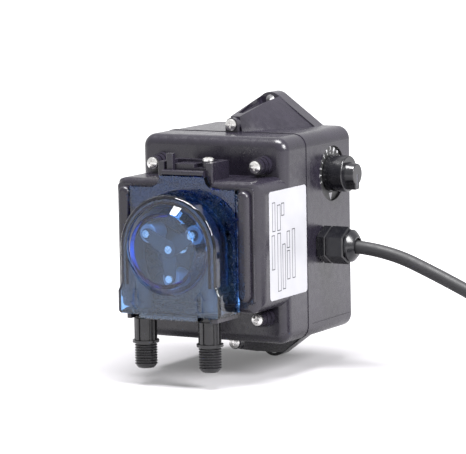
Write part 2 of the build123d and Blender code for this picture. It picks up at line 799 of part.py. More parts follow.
keeper_half = bracket_inner - keeper_gap
keeper_back_depth = bracket_back_depth + bracket_plate + keeper_gap
keeper_floor = bracket_floor_top + keeper_gap
with BuildPart() as cover_keeper:
    with BuildSketch(level(keeper_floor)):
        with Locations((0, -(keeper_back_depth + block_depth) / 2)):
            Rectangle(2 * keeper_half, block_depth - keeper_back_depth)
    extrude(amount=keeper_top - 1.6 - keeper_floor)
    with BuildSketch(level(keeper_floor)):
        with Locations((0, -(keeper_back_depth + keeper_pad_depths[1]) / 2)):
            Rectangle(2 * keeper_half, keeper_pad_depths[1] - keeper_back_depth)
    extrude(amount=keeper_top - keeper_floor)
    with BuildSketch(Plane.YZ.offset(-keeper_half)):
        with Locations((-(block_depth + keeper_bar_depth) / 2 + 1.0, (tab_top + keeper_bar_top) / 2)):
            RectangleRounded(keeper_bar_depth - block_depth + 2.0, keeper_bar_top - tab_top, 1.2)
    extrude(amount=2 * keeper_half)
    with BuildSketch(level(keeper_top - 1.0)):
        with Locations((sum(keeper_pad) / 2, -sum(keeper_pad_depths) / 2)):
            RectangleRounded(keeper_pad[1] - keeper_pad[0], keeper_pad_depths[1] - keeper_pad_depths[0], 1.0)
    extrude(amount=keeper_pad_top - keeper_top + 1.0)
    with BuildSketch(level(keeper_floor)):
        with Locations((post_x, -post_depth)):
            RectangleRounded(*post_size, 0.7)
    extrude(amount=post_top - keeper_floor)
    with BuildSketch(level(keeper_floor)):
        with Locations((keeper_screw_x - 0.5, -keeper_screw_depth)):
            Circle(keeper_boss_radius - 0.5)
    extrude(amount=keeper_boss_top - keeper_floor)
    with Locations(level(keeper_boss_top, keeper_screw_x, keeper_screw_depth)):
        Hole(gear_screw_radius + screw_clearance, depth=keeper_boss_top)
save(cover_keeper, "cover_keeper")

keeper_screw_part = build_screw(level(keeper_boss_top, keeper_screw_x, keeper_screw_depth), gear_screw_radius,
                                keeper_boss_top - keeper_screw_end, keeper_head_radius, head_height)
with BuildPart() as keeper_screw:
    add(keeper_screw_part)
save(keeper_screw, "keeper_screw")

# ---------------------------------------------------------------- output shaft and roller head


def shaft_section(radius):
    """Shaft circle with one flat."""
    Circle(radius)
    with Locations((0, 2 * radius - shaft_flat)):
        Rectangle(2 * radius, 2 * radius, mode=Mode.SUBTRACT)


carrier_rear_depth = roller_back_depth - carrier_gap - carrier_plate
carrier_front_depth = roller_back_depth + roller_length + carrier_gap
carrier_face_depth = carrier_front_depth + carrier_front_plate
pin_head_depth = carrier_face_depth + pin_head_height
stub_radius = shaft_radius * 0.6
with BuildPart() as output_shaft:
    with BuildSketch(facing(gearbox_rear_depth + 0.2)):
        Circle(shaft_radius)
    extrude(amount=pocket_depth + 7.0 - gearbox_rear_depth - 0.2)
    with BuildSketch(facing(pocket_depth + 7.0)):
        shaft_section(shaft_radius)
    extrude(amount=roller_back_depth - carrier_gap - pocket_depth - 7.0)
    with BuildSketch(facing(roller_back_depth - carrier_gap)):
        Circle(stub_radius)
    extrude(amount=pin_head_depth - roller_back_depth + carrier_gap)
save(output_shaft, "output_shaft")


def arm_star(hub, tip):
    """Three arms from a hub of radius `hub` to round tips of radius `tip` at the roller pins."""
    arms = []
    for angle in roller_angles:
        with BuildSketch() as arm:
            Circle(hub)
            with Locations(polar(carrier_radius, angle)):
                Circle(tip)
            make_hull()
        arms.append(arm.sketch)
    return arms


rear_arms = arm_star(carrier_hub_radius, carrier_arm_radius)
front_arms = arm_star(nut_radius, carrier_arm_radius - 1.0)


with BuildPart() as roller_carrier_rear:
    with BuildSketch(facing(carrier_rear_depth)):
        add(rear_arms)
    extrude(amount=carrier_plate)
    with BuildSketch(facing(pocket_depth + 7.0)):
        Circle(carrier_hub_radius)
    extrude(amount=carrier_rear_depth - pocket_depth - 7.0)
    with BuildSketch(facing(pocket_depth + 6.9)):
        shaft_section(shaft_radius)
    extrude(amount=roller_back_depth, mode=Mode.SUBTRACT)
    with BuildSketch(facing(carrier_rear_depth)):
        with Locations(*[polar(carrier_radius, angle) for angle in roller_angles]):
            Circle(roller_pin_radius)
    extrude(amount=carrier_plate, mode=Mode.SUBTRACT)
save(roller_carrier_rear, "roller_carrier_rear")

with BuildPart() as roller_carrier_front:
    with BuildSketch(facing(carrier_front_depth)):
        add(front_arms)
        with Locations(*[polar(carrier_radius, angle) for angle in roller_angles]):
            Circle(roller_pin_radius, mode=Mode.SUBTRACT)
        Circle(stub_radius, mode=Mode.SUBTRACT)
    extrude(amount=carrier_front_plate)
save(roller_carrier_front, "roller_carrier_front")

with BuildPart() as carrier_nut:
    with BuildSketch(facing(carrier_face_depth)):
        Circle(nut_radius)
        Circle(stub_radius, mode=Mode.SUBTRACT)
    extrude(amount=pin_head_height)
    chamfer(carrier_nut.faces().sort_by(Axis.Y)[0].outer_wire().edges(), 0.4)
save(carrier_nut, "carrier_nut")

with BuildPart() as roller_pins:
    for angle in roller_angles:
        px, pz = polar(carrier_radius, angle)
        with BuildSketch(facing(carrier_rear_depth, px, pz)):
            Circle(roller_pin_radius)
        extrude(amount=pin_head_depth - carrier_rear_depth - 0.3)
        with BuildSketch(facing(carrier_face_depth, px, pz)):
            Circle(pin_head_radius)
        extrude(amount=pin_head_height)
save(roller_pins, "roller_pins")

for index, angle in enumerate(roller_angles):
    px, pz = polar(carrier_radius, angle)
    with BuildPart() as roller:
        with BuildSketch(facing(roller_back_depth, px, pz)):
            Circle(roller_radius)
        extrude(amount=roller_length)
        chamfer(roller.edges().filter_by(GeomType.CIRCLE), 0.5)
        with BuildSketch(facing(roller_back_depth, px, pz)):
            Circle(roller_pin_radius + running_gap)
        extrude(amount=roller_length, mode=Mode.SUBTRACT)
    save(roller, f"roller_{index + 1}")

# ---------------------------------------------------------------- tube and fittings
pressed_x = (pressed_in + pressed_out) / 2
pressed_half = (pressed_out - pressed_in) / 2
pressed_reach = tube_radius * 1.3
with BuildPart() as pump_tube:
    with BuildSketch(level(0, pressed_x, tube_depth)):
        Ellipse(pressed_half, pressed_reach)
    revolve(axis=Axis((0, 0, 0), (0, -1, 0)), revolution_arc=180)
    for sx in (-1, 1):
        with BuildSketch(level(-press_start_z, sx * pressed_x, tube_depth)):
            Ellipse(pressed_half, pressed_reach)
        extrude(amount=press_start_z)
        with BuildSketch(level(-press_start_z, sx * pressed_x, tube_depth)):
            Ellipse(pressed_half, pressed_reach)
        with BuildSketch(level(-press_end_z, sx * tube_x, tube_depth)):
            Ellipse(tube_radius - tube_ovality, tube_radius)
        loft()
        with BuildSketch(level(-tube_end_z, sx * tube_x, tube_depth)):
            Ellipse(tube_radius - tube_ovality, tube_radius)
        extrude(amount=tube_end_z - press_end_z)
        with BuildSketch(level(-tube_end_z, sx * tube_x, tube_depth)):
            Circle(tube_bore)
        extrude(amount=tube_end_z - press_end_z, mode=Mode.SUBTRACT)
save(pump_tube, "pump_tube")

fitting_levels = (tube_end_z, shelf_top - 0.2, shelf_top + shelf_thickness + 0.2)


def build_fitting(x):
    """Ribbed pipe connector: barb up into the tube, thread down."""
    seat_z, neck_z, body_z = fitting_levels
    ridge_count = int((thread_end - collar_z - collar_thickness - 1.6) / thread_pitch)
    thread_start = thread_end - 1.6 - ridge_count * thread_pitch
    core = thread_radius - thread_height
    ridges = []
    for ridge in range(ridge_count):
        top = thread_start + ridge * thread_pitch
        ridges += [(core, -top), (thread_radius, -top - 0.30 * thread_pitch),
                   (thread_radius, -top - 0.55 * thread_pitch), (core, -top - 0.85 * thread_pitch)]
    with BuildPart() as fitting:
        with BuildSketch(Plane(origin=(x, -tube_depth, 0), x_dir=(1, 0, 0), z_dir=(0, -1, 0))):
            with BuildLine():
                Polyline((0, -fitting_top_z), (tube_bore, -fitting_top_z), (tube_bore, -seat_z),
                         (fitting_flange_radius, -seat_z), (fitting_flange_radius, -neck_z),
                         (fitting_neck_radius, -neck_z), (fitting_neck_radius, -body_z),
                         (fitting_body_radius, -body_z), (fitting_body_radius, -collar_z),
                         (collar_radius, -collar_z), (collar_radius, -collar_z - collar_thickness),
                         (core, -collar_z - collar_thickness), *ridges, (core, -thread_end + 1.4),
                         (core - 1.2, -thread_end), (0, -thread_end), close=True)
            make_face()
        revolve(axis=Axis((x, -tube_depth, 0), (0, 0, 1)))
        with BuildSketch(level(-collar_z, x, tube_depth)):
            with PolarLocations(fitting_body_radius, fitting_rib_count):
                Rectangle(1.6, fitting_groove)
        extrude(amount=collar_z - body_z, mode=Mode.SUBTRACT)
        with Locations(level(-fitting_top_z, x, tube_depth)):
            Hole(flow_radius, depth=thread_end)
        with BuildSketch(level(-thread_end, x, tube_depth)):
            Circle(port_radius)
        extrude(amount=port_length, mode=Mode.SUBTRACT)
    return fitting


save(build_fitting(tube_x), "suction_fitting")
save(build_fitting(-tube_x), "discharge_fitting")

# ---------------------------------------------------------------- speed dial
with BuildPart() as dial_plate:
    with BuildSketch(side(dial_floor_x, dial_depth, dial_z)):
        Circle(dial_radius - 0.1)
        Circle(pot_bush_radius + screw_clearance, mode=Mode.SUBTRACT)
    extrude(amount=dial_plate_thickness)
save(dial_plate, "dial_plate")

pot_face_x = half_width - wall - dial_boss_thickness
nut_x = dial_floor_x + dial_plate_thickness
with BuildPart() as speed_potentiometer:
    with BuildSketch(side(pot_face_x - pot_length, dial_depth, dial_z)):
        Circle(pot_radius)
    extrude(amount=pot_length)
    with BuildSketch(side(pot_face_x, dial_depth, dial_z)):
        Circle(pot_bush_radius)
    extrude(amount=nut_x + pot_nut_thickness + 0.5 - pot_face_x)
    with BuildSketch(side(pot_face_x - pot_length + 1.5, dial_depth, dial_z)):
        Circle(pot_shaft_radius + running_gap)
    extrude(amount=half_width, mode=Mode.SUBTRACT)
save(speed_potentiometer, "speed_potentiometer")

with BuildPart() as potentiometer_nut:
    with BuildSketch(side(nut_x, dial_depth, dial_z)):
        RegularPolygon(hexagon(pot_nut_across), 6)
        Circle(pot_bush_radius, mode=Mode.SUBTRACT)
    extrude(amount=pot_nut_thickness)
save(potentiometer_nut, "potentiometer_nut")

knob_base_x = nut_x + knob_stand
knob_face_x = knob_base_x + knob_base_length
knob_bore_x = knob_end - 3.0
with BuildPart() as potentiometer_shaft:
    with BuildSketch(side(pot_face_x - pot_length + 1.8, dial_depth, dial_z)):
        Circle(pot_shaft_radius)
    extrude(amount=knob_bore_x - pot_face_x + pot_length - 1.8)
save(potentiometer_shaft, "potentiometer_shaft")

with BuildPart() as speed_knob:
    with BuildSketch(side(knob_base_x, dial_depth, dial_z)):
        Circle(knob_radius)
    extrude(amount=knob_base_length)
    fillet(speed_knob.faces().sort_by(Axis.X)[-1].edges(), 0.7)
    for x, grow in ((knob_face_x - 0.5, 1.0), (knob_end, 0.0)):
        with BuildSketch(side(x, dial_depth, dial_z)):
            Circle(knob_grip_radius + grow)
    loft(ruled=True)
    with BuildSketch(side(knob_face_x - 0.5, dial_depth, dial_z)):
        with Locations((0, -knob_pointer_reach / 2)):
            RectangleRounded(knob_pointer_width, knob_pointer_reach, 1.0)
    extrude(amount=knob_end - knob_face_x + 0.5)
    fillet(speed_knob.faces().sort_by(Axis.X)[-1].edges(), 0.6)
    with BuildSketch(side(knob_end - knob_line_depth, dial_depth, dial_z)):
        with Locations((0, -knob_pointer_reach / 2 + 1.0)):
            Rectangle(knob_line_width, knob_pointer_reach - 2.0)
    extrude(amount=knob_line_depth, mode=Mode.SUBTRACT)
    with BuildSketch(side(knob_base_x, dial_depth, dial_z)):
        Circle(pot_shaft_radius)
    extrude(amount=knob_bore_x - knob_base_x, mode=Mode.SUBTRACT)
    with BuildSketch(side(knob_base_x, dial_depth, dial_z)):
        Circle(hexagon(pot_nut_across) + 1.0)
    extrude(amount=pot_nut_thickness + 1.0, mode=Mode.SUBTRACT)
save(speed_knob, "speed_knob")

# ---------------------------------------------------------------- control board
board_size = (board_depths[1] - board_depths[0], board_zs[1] - board_zs[0])
board_middle = (-sum(board_depths) / 2, sum(board_zs) / 2)
with BuildPart() as control_board:
    with BuildSketch(side(board_x)):
        with Locations(board_middle):
            Rectangle(*board_size)
        with Locations(*board_posts):
            Circle(board_screw_radius + 0.1, mode=Mode.SUBTRACT)
    extrude(amount=board_thickness)
save(control_board, "control_board")

board_screw_parts = [build_screw(Plane(origin=(board_x, py, pz), x_dir=(0, 1, 0), z_dir=(-1, 0, 0)),
                                 board_screw_radius, board_thickness + board_screw_grip, 2.2, 1.6) for py, pz in board_posts]
with BuildPart() as board_screws:
    for screw_part in board_screw_parts:
        add(screw_part)
save(board_screws, "board_screws")

with BuildPart() as board_components:
    for py, pz, size_y, size_z, height in ((-16.0, 27.0, 14.0, 18.0, 14.0), (-45.0, 27.0, 9.0, 12.0, 9.0),
                                           (-30.0, 13.0, 18.0, 7.0, 9.0), (-34.0, 33.0, 7.0, 5.0, 2.0)):
        with BuildSketch(side(board_x)):
            with Locations((py, pz)):
                Rectangle(size_y, size_z)
        extrude(amount=-height)
    with BuildSketch(side(board_x)):
        with Locations((-31.0, 23.5)):
            Circle(4.0)
    extrude(amount=-12.0)
save(board_components, "board_components")

# ---------------------------------------------------------------- cable gland
panel_x = half_width - panel_recess
washer_thickness = 0.8
flange_x = panel_x + washer_thickness
gland_nut_x = panel_x + gland_flange + gland_nut_start
gland_collar_x = gland_nut_x + gland_nut_length
gland_dome_x = gland_collar_x + gland_collar_length
gland_axis = Axis((0, -gland_depth, gland_z), (1, 0, 0))
seal_x = gland_collar_x - 1.5


def ring(start, end, outer, inner):
    """Plain ring round the gland's axis between two x positions."""
    with BuildPart() as tube:
        with BuildSketch(side(start, gland_depth, gland_z)):
            Circle(outer)
            Circle(inner, mode=Mode.SUBTRACT)
        extrude(amount=end - start)
    return tube.part


washer_ring = ring(panel_x, flange_x, gland_across / 2 - 0.5, gland_thread_radius + 0.2)
thread_ring = ring(half_width - wall - locknut_thickness - 3.0, seal_x - 0.3, gland_thread_radius, gland_inner)
seal_rings = [ring(seal_x, gland_dome_x + 1.2, gland_thread_radius - 0.3, cord_radius),
              ring(seal_x - gland_seal_length, seal_x + 0.01, gland_inner - 0.05, cord_radius)]


with BuildPart() as gland_washer:
    add(washer_ring)
save(gland_washer, "gland_washer")

with BuildPart() as gland_body:
    with BuildSketch(side(flange_x, gland_depth, gland_z)):
        RegularPolygon(hexagon(gland_across), 6, rotation=90)
    extrude(amount=panel_x + gland_flange - flange_x)
    chamfer(gland_body.faces().sort_by(Axis.X)[-1].edges(), 0.6)
    add(thread_ring)
    with BuildSketch(side(flange_x - 1.0, gland_depth, gland_z)):
        Circle(gland_inner)
    extrude(amount=gland_nut_length, mode=Mode.SUBTRACT)
save(gland_body, "gland_body")

with BuildPart() as gland_locknut:
    with BuildSketch(side(half_width - wall - locknut_thickness, gland_depth, gland_z)):
        RegularPolygon(hexagon(locknut_across), 6, rotation=90)
        Circle(gland_thread_radius, mode=Mode.SUBTRACT)
    extrude(amount=locknut_thickness)
save(gland_locknut, "gland_locknut")

with BuildPart() as gland_nut:
    with BuildSketch(side(gland_nut_x, gland_depth, gland_z)):
        RegularPolygon(hexagon(gland_across), 6, rotation=90)
    extrude(amount=gland_nut_length)
    chamfer(gland_nut.faces().sort_by(Axis.X)[-1].edges(), 0.8)
    with BuildSketch(Plane(origin=(0, -gland_depth, gland_z), x_dir=(1, 0, 0), z_dir=(0, -1, 0))):
        with BuildLine():
            collar = Polyline((gland_nut_x + 1.0, 0), (gland_nut_x + 1.0, gland_collar_radius - 0.6),
                              (gland_collar_x, gland_collar_radius - 0.6), (gland_collar_x + 0.8, gland_collar_radius),
                              (gland_dome_x - 0.6, gland_collar_radius), (gland_dome_x, gland_collar_radius - 0.5))
            dome = ThreePointArc(collar @ 1, (gland_end - 1.6, gland_mouth_radius + 3.0),
                                 (gland_end, gland_mouth_radius + 0.8))
            Polyline(dome @ 1, (gland_end, 0), collar @ 0)
        make_face()
    revolve(axis=gland_axis)
    with BuildSketch(side(gland_nut_x, gland_depth, gland_z)):
        Circle(gland_thread_radius + 0.05)
    extrude(amount=gland_dome_x + 1.5 - gland_nut_x, mode=Mode.SUBTRACT)
    with BuildSketch(side(gland_nut_x, gland_depth, gland_z)):
        Circle(gland_mouth_radius)
    extrude(amount=2 * gland_end, mode=Mode.SUBTRACT)
save(gland_nut, "gland_nut")

with BuildPart() as gland_seal:
    add(seal_rings)
save(gland_seal, "gland_seal")

# ---------------------------------------------------------------- gearbox


def gear_plate_outline(*holes):
    """Plate with holes for the four posts and for each (x, z, radius) given."""
    RectangleRounded(2 * gear_plate_half[0], 2 * gear_plate_half[1], 5.0)
    with Locations(*post_places):
        Circle(gear_screw_radius + 0.1, mode=Mode.SUBTRACT)
    for x, z, radius in holes:
        with Locations((x, z)):
            Circle(radius, mode=Mode.SUBTRACT)


spindle_holes = [(*shaft_a, spindle_radius), (*shaft_b, spindle_radius)]
bush_radius = shaft_radius + bush_wall
motor_spigot = 5.0
with BuildPart() as gearbox_rear_plate:
    with BuildSketch(facing(gearbox_rear_depth)):
        gear_plate_outline(*spindle_holes, (0, 0, bush_radius), (*shaft_m, motor_spigot))
    extrude(amount=gear_plate)
save(gearbox_rear_plate, "gearbox_rear_plate")

with BuildPart() as gearbox_front_plate:
    with BuildSketch(facing(gearbox_front_depth)):
        gear_plate_outline(*spindle_holes, (0, 0, bush_radius + 1.0))
    extrude(amount=gear_plate)
save(gearbox_front_plate, "gearbox_front_plate")

with BuildPart() as gearbox_spacers:
    with BuildSketch(facing(gearbox_rear_depth + gear_plate)):
        with Locations(*post_places):
            Circle(gear_post_radius)
            Circle(gear_screw_radius + 0.1, mode=Mode.SUBTRACT)
    extrude(amount=gearbox_front_depth - gearbox_rear_depth - gear_plate)
save(gearbox_spacers, "gearbox_spacers")

gear_screw_parts = [build_screw(Plane(origin=(px, -gearbox_rear_depth, pz), x_dir=(1, 0, 0), z_dir=(0, 1, 0)),
                                gear_screw_radius, gear_screw_end - gearbox_rear_depth, 2.8, 2.0)
                    for px, pz in post_places]
with BuildPart() as gearbox_screws:
    for screw_part in gear_screw_parts:
        add(screw_part)
save(gearbox_screws, "gearbox_screws")

with BuildPart() as gear_spindles:
    with BuildSketch(facing(gearbox_rear_depth)):
        with Locations(shaft_a, shaft_b):
            Circle(spindle_radius)
    extrude(amount=gearbox_front_depth + gear_plate - gearbox_rear_depth)
save(gear_spindles, "gear_spindles")

shaft_bush_spans = {"front_bush": (pocket_depth - pocket_wall, pocket_depth + 3.5),
                    "rear_bush": (gearbox_rear_depth, gearbox_rear_depth + 3.2)}
for name, (start, end) in shaft_bush_spans.items():
    with BuildPart() as bush:
        with BuildSketch(facing(start)):
            Circle(bush_radius)
            Circle(shaft_radius + running_gap, mode=Mode.SUBTRACT)
        extrude(amount=end - start)
    save(bush, name)

with BuildPart() as shaft_seal:
    with BuildSketch(facing(pocket_depth + 3.5)):
        Circle(bush_radius)
        Circle(shaft_radius + 0.3, mode=Mode.SUBTRACT)
    extrude(amount=2.5)
save(shaft_seal, "shaft_seal")


def gear_wheel(span, place, teeth, module, phase, tip):
    """Toothed disc of one gear between the two depths in `span`."""
    with BuildPart() as disc:
        with BuildSketch(facing(span[0], *place)):
            with BuildLine():
                Polyline(*gear_points(teeth, module, phase, tip), close=True)
            make_face()
        extrude(amount=span[1] - span[0])
    return disc.part


wheel_tip, pinion_tip = 0.75, 0.95
pinion_b_phase = angle_b + 180.0 + 180.0 / pinion_b
pinion_a_phase = angle_a + 180.0 + 180.0 / pinion_a
pinion_m_phase = angle_m + 180.0 + 180.0 / pinion_m

output_wheel = gear_wheel(out_layer, (0, 0), teeth_out, module_out, angle_b, wheel_tip)
with BuildPart() as output_gear:
    add(output_wheel)
    with BuildSketch(facing(out_layer[0] - 2.5)):
        Circle(shaft_radius + 3.0)
    extrude(amount=out_layer[1] - out_layer[0] + 4.0)
    with BuildSketch(facing(out_layer[0] - 3.0)):
        Circle(shaft_radius)
    extrude(amount=out_layer[1] - out_layer[0] + 6.0, mode=Mode.SUBTRACT)
    with BuildSketch(facing(out_layer[0] - 0.5)):
        with PolarLocations(12.5, 6):
            Circle(3.0)
    extrude(amount=out_layer[1] - out_layer[0] + 1.0, mode=Mode.SUBTRACT)
save(output_gear, "output_gear")

cluster_specs = (
    ("cluster_gear_b", shaft_b, (mid_layer, teeth_mid, module_mid, angle_a),
     ((mid_layer[1], out_layer[1]), pinion_b, module_out, pinion_b_phase)),
    ("cluster_gear_a", shaft_a, (in_layer, teeth_in, module_in, angle_m),
     ((in_layer[1], mid_layer[1]), pinion_a, module_mid, pinion_a_phase)))
for name, place, wheel_spec, pinion_spec in cluster_specs:
    wheel = gear_wheel(wheel_spec[0], place, *wheel_spec[1:], wheel_tip)
    pinion = gear_wheel(pinion_spec[0], place, *pinion_spec[1:], pinion_tip)
    with BuildPart() as cluster:
        add(wheel)
        add(pinion)
        with BuildSketch(facing(gearbox_rear_depth + gear_plate + 0.3, *place)):
            Circle(spindle_radius + 1.2)
        extrude(amount=gearbox_front_depth - gearbox_rear_depth - gear_plate - 0.6)
        with BuildSketch(facing(gearbox_rear_depth, *place)):
            Circle(spindle_radius + running_gap)
        extrude(amount=gearbox_front_depth, mode=Mode.SUBTRACT)
    save(cluster, name)

# ---------------------------------------------------------------- motor
motor_back_depth = gearbox_rear_depth - motor_length
bush_length = 3.0
pinion_disc = gear_wheel(in_layer, shaft_m, pinion_m, module_in, pinion_m_phase, pinion_tip)
with BuildPart() as motor_pinion:
    add(pinion_disc)
    with BuildSketch(facing(in_layer[0] - 0.5, *shaft_m)):
        Circle(motor_shaft_radius)
    extrude(amount=in_layer[1], mode=Mode.SUBTRACT)
save(motor_pinion, "motor_pinion")

with BuildPart() as motor_shaft:
    with BuildSketch(facing(motor_back_depth - 0.5, *shaft_m)):
        Circle(motor_shaft_radius)
    extrude(amount=in_layer[1] - motor_back_depth + 0.5)
save(motor_shaft, "motor_shaft")

with BuildPart() as motor_can:
    with BuildSketch(facing(motor_back_depth, *shaft_m)):
        Circle(motor_radius)
    extrude(amount=motor_length)
    with BuildSketch(facing(motor_back_depth, *shaft_m)):
        Circle(motor_radius - motor_wall)
    extrude(amount=motor_length - motor_wall, mode=Mode.SUBTRACT)
    with BuildSketch(facing(gearbox_rear_depth - motor_wall, *shaft_m)):
        Circle(motor_spigot)
    extrude(amount=motor_wall + gear_plate)
    with BuildSketch(facing(motor_back_depth, *shaft_m)):
        Circle(motor_spigot - 2.0)
    extrude(amount=2 * motor_length, mode=Mode.SUBTRACT)
save(motor_can, "motor_can")

with BuildPart() as motor_end_cap:
    with BuildSketch(facing(motor_back_depth - 2.0, *shaft_m)):
        Circle(motor_radius)
    extrude(amount=2.0)
    with BuildSketch(facing(motor_back_depth - 4.0, *shaft_m)):
        Circle(motor_spigot)
    extrude(amount=7.0)
    with BuildSketch(facing(motor_back_depth - 1.0, *shaft_m)):
        Circle(motor_spigot - 2.0)
    extrude(amount=5.0, mode=Mode.SUBTRACT)
save(motor_end_cap, "motor_end_cap")

with BuildPart() as motor_bushes:
    for start in (motor_back_depth, gearbox_rear_depth - motor_wall):
        with BuildSketch(facing(start, *shaft_m)):
            Circle(motor_spigot - 2.0)
            Circle(motor_shaft_radius + running_gap, mode=Mode.SUBTRACT)
        extrude(amount=bush_length)
save(motor_bushes, "motor_bushes")

magnet_depth = motor_back_depth + 10.0
with BuildPart() as motor_magnets:
    with BuildSketch(facing(magnet_depth, *shaft_m)):
        Circle(motor_radius - motor_wall)
        Circle(motor_radius - motor_wall - magnet_thickness, mode=Mode.SUBTRACT)
        Rectangle(10.0, 4 * motor_radius, mode=Mode.SUBTRACT)
    extrude(amount=armature_length + 4.0)
save(motor_magnets, "motor_magnets")

with BuildPart() as motor_armature:
    with BuildSketch(facing(magnet_depth + 2.0, *shaft_m)):
        Circle(armature_radius)
        with PolarLocations(armature_radius - 0.8, 5):
            Rectangle(3.0, 1.4, mode=Mode.SUBTRACT)
        Circle(motor_shaft_radius, mode=Mode.SUBTRACT)
    extrude(amount=armature_length)
save(motor_armature, "motor_armature")

with BuildPart() as motor_windings:
    for start in (magnet_depth - 2.0, magnet_depth + 2.0 + armature_length):
        with BuildSketch(facing(start, *shaft_m)):
            Circle(armature_radius - 1.5)
            Circle(motor_shaft_radius, mode=Mode.SUBTRACT)
        extrude(amount=4.0)
    fillet(motor_windings.edges().filter_by(GeomType.CIRCLE).filter_by(lambda e: e.radius > armature_radius - 2), 1.2)
save(motor_windings, "motor_windings")

with BuildPart() as motor_commutator:
    with BuildSketch(facing(motor_back_depth + 3.2, *shaft_m)):
        Circle(3.4)
        Circle(motor_shaft_radius, mode=Mode.SUBTRACT)
    extrude(amount=magnet_depth - 2.0 - motor_back_depth - 3.2)
save(motor_commutator, "motor_commutator")

# ---------------------------------------------------------------- mains cord, coil and plug
cord_route = [(56.5, -37.2, -7), (72.1, -37.2, -7.35), (88.1, -37.2, -9.15), (104.1, -37.2, -12.95),
              (120.1, -37.2, -19.35), (136.1, -37.3, -26.15), (152.1, -37, -33.5), (168.1, -36.3, -42.6),
              (183.6, -35.1, -51.1), (199.1, -33.7, -57.7), (216.1, -32.4, -61.5), (233.1, -31.8, -62.6)]
coil_x, coil_y = coil_centre
tail_y = coil_y + coil_mean_radius + (coil_rings - 1) * cord_radius
tail_route = [(coil_x - 4.0, tail_y, floor_z + cord_radius), (coil_x + 10.0, tail_y + 0.1, floor_z + cord_radius + 0.6),
              (coil_x + 24.0, tail_y + 0.8, floor_z + cord_radius + 3.0),
              (coil_x + 38.0, tail_y + 2.2, floor_z + plug_size[1] / 2)]


def arc_radii(route):
    """Radius for each corner of a route: as large as its two runs allow."""
    radii = []
    for before, corner, after in zip(route, route[1:], route[2:]):
        run_in, run_out = Vector(*corner) - Vector(*before), Vector(*after) - Vector(*corner)
        turn = radians(run_in.get_angle(run_out))
        radii.append(0.45 * min(run_in.length, run_out.length) / tan(turn / 2))
    return radii


for name, route in (("power_cord", cord_route), ("cord_tail", tail_route)):
    radii = arc_radii(route)
    with BuildPart() as cord:
        with BuildLine() as path:
            FilletPolyline(*route, radius=radii)
        with BuildSketch(Plane(origin=path.line @ 0, z_dir=path.line % 0)):
            Circle(cord_radius)
        sweep()
    length = path.wires()[0].length
    print(name, "length", round(length, 1), "smallest arc", round(min(radii), 1),
          "volume error", round(cord.part.volume / (length * pi * cord_radius ** 2) - 1, 4))
    save(cord, name)

coil_half = coil_rings * cord_radius
with BuildPart() as cord_coil:
    with BuildSketch(Plane.XY.offset(floor_z)):
        with Locations(coil_centre):
            Circle(coil_mean_radius + coil_half)
            Circle(coil_mean_radius - coil_half, mode=Mode.SUBTRACT)
    extrude(amount=2 * coil_layers * cord_radius)
    fillet(cord_coil.edges().filter_by(GeomType.CIRCLE), cord_radius * 0.9)
save(cord_coil, "cord_coil")

plug_start, plug_before = Vector(*tail_route[-1]), Vector(*tail_route[-2])
plug_heading = Vector(plug_start.X - plug_before.X, plug_start.Y - plug_before.Y, 0).normalized()
plug_plane = Plane(origin=plug_start, x_dir=Vector(plug_heading.Y, -plug_heading.X, 0), z_dir=plug_heading)
with BuildPart() as plug_body:
    with BuildSketch(plug_plane):
        Circle(plug_relief_radius)
    with BuildSketch(plug_plane.offset(plug_relief_length)):
        Circle(plug_neck[0] / 2)
    loft()
    with BuildSketch(plug_plane.offset(plug_relief_length)):
        RectangleRounded(*plug_neck, 5.5)
    with BuildSketch(plug_plane.offset(plug_relief_length + plug_length)):
        RectangleRounded(*plug_size, 5.5)
    loft()
    fillet(plug_body.faces().sort_by(Axis(plug_start, plug_heading))[-1].edges(), 1.5)
save(plug_body, "plug_body")

with BuildPart() as plug_pins:
    with BuildSketch(plug_plane.offset(plug_relief_length + plug_length - 3.0)):
        with GridLocations(blade_spacing, 0, 2, 1):
            Rectangle(blade_thickness, blade_width)
    extrude(amount=blade_length + 3.0)
    with BuildSketch(plug_plane.offset(plug_relief_length + plug_length - 3.0)):
        with Locations((0, -earth_pin_drop)):
            Circle(earth_pin_radius)
    extrude(amount=earth_pin_length + 3.0)
with BuildPart() as plug_core:
    add(plug_body.part)
    add(plug_pins.part, mode=Mode.SUBTRACT)
save(plug_core, "plug_body")
save(plug_pins, "plug_pins")
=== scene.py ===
"""Looks for a wall-mount peristaltic metering pump. Everything is in metres, in the frame of the part."""
import json
import math

import bpy
from mathutils import Matrix, Vector


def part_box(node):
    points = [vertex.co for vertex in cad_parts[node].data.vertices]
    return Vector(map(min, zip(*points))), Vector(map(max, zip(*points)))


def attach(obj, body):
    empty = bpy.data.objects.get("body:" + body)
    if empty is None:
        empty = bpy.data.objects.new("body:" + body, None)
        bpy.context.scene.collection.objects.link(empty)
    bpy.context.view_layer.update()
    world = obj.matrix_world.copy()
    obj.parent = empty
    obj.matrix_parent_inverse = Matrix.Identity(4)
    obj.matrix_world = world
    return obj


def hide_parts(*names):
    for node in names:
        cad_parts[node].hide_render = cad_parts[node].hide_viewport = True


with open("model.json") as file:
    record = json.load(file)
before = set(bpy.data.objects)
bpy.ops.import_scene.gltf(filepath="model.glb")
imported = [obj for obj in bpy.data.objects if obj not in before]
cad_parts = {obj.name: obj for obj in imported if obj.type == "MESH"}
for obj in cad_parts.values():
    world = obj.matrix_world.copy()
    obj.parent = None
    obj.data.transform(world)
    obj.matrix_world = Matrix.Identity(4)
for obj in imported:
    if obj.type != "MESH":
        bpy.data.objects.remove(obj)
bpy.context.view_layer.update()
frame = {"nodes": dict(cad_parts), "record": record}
nodes = frame["nodes"]
MM = 0.001

# ---------------------------------------------------------------- node helpers


